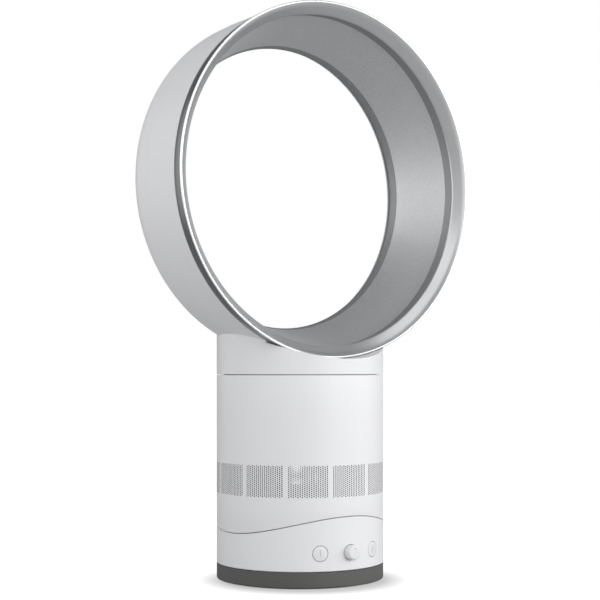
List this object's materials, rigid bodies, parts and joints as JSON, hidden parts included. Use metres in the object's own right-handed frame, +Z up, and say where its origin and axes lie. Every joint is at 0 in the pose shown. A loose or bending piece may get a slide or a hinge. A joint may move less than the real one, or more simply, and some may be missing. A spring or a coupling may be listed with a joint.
{
  "type": "bladeless fan",
  "caption": "Desk fan with a round ring nozzle on a cylindrical body that swings and tilts on a dark foot, with a perforated inlet band, two push buttons and a speed dial.",
  "frame": {"origin": "centre of the foot, on the surface the fan stands on", "axes": "+Z up, the air leaves towards -Y, +X to the right of someone facing the front of the fan"},
  "size_m": [0.3052, 0.1547, 0.4986],
  "materials": {
    "white_plastic": "satin white moulded ABS",
    "dark_plastic": "fine-textured dark grey ABS",
    "control_plastic": "smooth light grey ABS",
    "silver_paint": "satin metallic silver paint on ABS",
    "plated_trim": "polished silver plating on ABS",
    "inner_plastic": "plain moulded light grey",
    "black_plastic": "plain moulded black",
    "nylon": "natural nylon",
    "rubber": "soft matt black",
    "foam": "open-cell acoustic foam",
    "steel": "turned steel",
    "screw_steel": "zinc-plated steel",
    "lamination_steel": "stacked steel sheet, varnished",
    "copper": "enamelled copper wire",
    "brass": "turned brass",
    "magnet": "sintered magnet",
    "circuit_board": "green solder mask"
  },
  "bodies": {
    "foot": {"foot_plate": "dark_plastic", "foot_pad": "rubber", "cord_gland": "rubber", "slide_ring": "nylon", "pivot_spindle": "steel", "spindle_screws": "screw_steel", "sun_gear": "nylon", "retaining_washer": "steel", "retainer_screws": "screw_steel"},
    "control_base": {"base_casing": "white_plastic", "base_floor": "inner_plastic", "floor_screws": "screw_steel", "pivot_bush": "nylon", "cradle_plate": "inner_plastic", "cradle_screws": "screw_steel", "control_board": "circuit_board", "board_components": "black_plastic", "board_screws": "screw_steel", "switch_carrier": "inner_plastic", "tact_switches": "black_plastic", "dial_encoder": "black_plastic", "swing_motor": "steel", "swing_motor_screws": "screw_steel"},
    "pinion": {"swing_pinion": "nylon"},
    "power_button": {"power_button": "control_plastic"},
    "swing_button": {"swing_button": "control_plastic"},
    "speed_dial": {"speed_dial": "control_plastic"},
    "main_body": {"body_casing": "white_plastic", "rocker_plate": "inner_plastic", "rocker_screws": "screw_steel", "tilt_shoe": "nylon", "shoe_screws": "screw_steel", "foam_disc": "foam", "impeller_housing": "inner_plastic", "inlet_bellmouth": "inner_plastic", "isolators": "rubber", "housing_screws": "screw_steel", "foam_sleeve": "foam", "housing_seal": "rubber", "motor_bucket_lower": "inner_plastic", "motor_bucket_upper": "inner_plastic", "stator_core": "lamination_steel", "stator_windings": "copper", "shaft_bearings": "steel", "nozzle_seat": "inner_plastic", "nozzle_seal": "rubber"},
    "rotor": {"impeller": "black_plastic", "motor_shaft": "steel", "rotor_magnet": "magnet", "impeller_nut": "brass"},
    "nozzle": {"nozzle_outer_casing": "white_plastic", "nozzle_inner_casing": "silver_paint", "nozzle_lip_ring": "silver_paint", "front_trim": "plated_trim"}
  },
  "joints": [
    {"name": "swing", "type": "hinge", "parent": "foot", "child": "control_base", "pos_m": [0, 0, 0.0152], "axis": [0, 0, 1], "range_deg": [-45, 45]},
    {"name": "pinion_spin", "type": "hinge", "parent": "control_base", "child": "pinion", "pos_m": [0, 0.036, 0.0067], "axis": [0, 0, 1], "range_deg": [-118, 118]},
    {"name": "power_press", "type": "slide", "parent": "control_base", "child": "power_button", "axis": [0.3746, 0.9272, 0], "range_m": [0, 0.001], "stiffness_N_per_m": 1200, "springref_m": -0.0005},
    {"name": "swing_press", "type": "slide", "parent": "control_base", "child": "swing_button", "axis": [-0.3746, 0.9272, 0], "range_m": [0, 0.001], "stiffness_N_per_m": 1200, "springref_m": -0.0005},
    {"name": "dial_turn", "type": "hinge", "parent": "control_base", "child": "speed_dial", "pos_m": [0, -0.07, 0.03], "axis": [0, -1, 0], "range_deg": [-140, 140]},
    {"name": "tilt", "type": "hinge", "parent": "control_base", "child": "main_body", "pos_m": [0, 0, 0.2211], "axis": [1, 0, 0], "range_deg": [-10, 10]},
    {"name": "rotor_spin", "type": "hinge", "parent": "main_body", "child": "rotor", "pos_m": [0, 0, 0.14], "axis": [0, 0, 1], "continuous": true},
    {"name": "nozzle_twist", "type": "hinge", "parent": "main_body", "child": "nozzle", "pos_m": [0, 0, 0.1794], "axis": [0, 0, 1], "range_deg": [0, 26]}
  ],
  "couplings": [
    {"joint": "pinion_spin", "follows": "swing", "ratio": 2.6}
  ]
}
